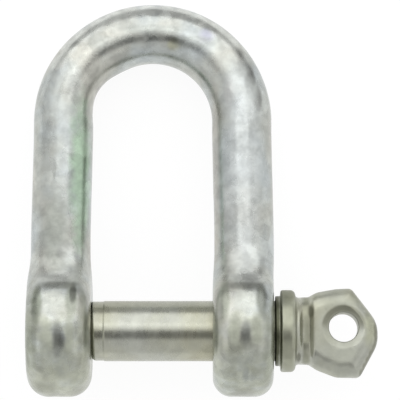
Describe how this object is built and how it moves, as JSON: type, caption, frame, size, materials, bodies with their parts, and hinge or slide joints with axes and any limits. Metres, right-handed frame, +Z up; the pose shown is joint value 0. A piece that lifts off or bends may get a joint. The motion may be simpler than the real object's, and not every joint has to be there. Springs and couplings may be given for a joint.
{
  "type": "screw pin chain shackle",
  "caption": "D-shaped forged shackle with two eyes and a screw pin that closes its jaw, for joining chain or rope fittings.",
  "frame": {"origin": "middle of the lying shackle's box, on the surface that it rests on", "axes": "+X along the pin towards its head, +Y from the pin towards the crown of the bow, +Z up; the plane of the bow dips 6.80 degrees towards the crown, because the shackle lies on both eye rims and on the crown"},
  "size_m": [0.0581, 0.0654, 0.0218],
  "materials": {
    "body_zinc": "hot dip galvanised forging, matt mottled grey",
    "pin_zinc": "galvanised and passivated, satin, slightly olive"
  },
  "bodies": {
    "bow": {"shackle_body": "body_zinc"},
    "pin": {"screw_pin": "pin_zinc"}
  },
  "joints": [
    {"name": "pin_withdraw", "type": "slide", "parent": "bow", "child": "pin", "axis": [1, 0, 0], "range_m": [0, 0.042]}
  ]
}
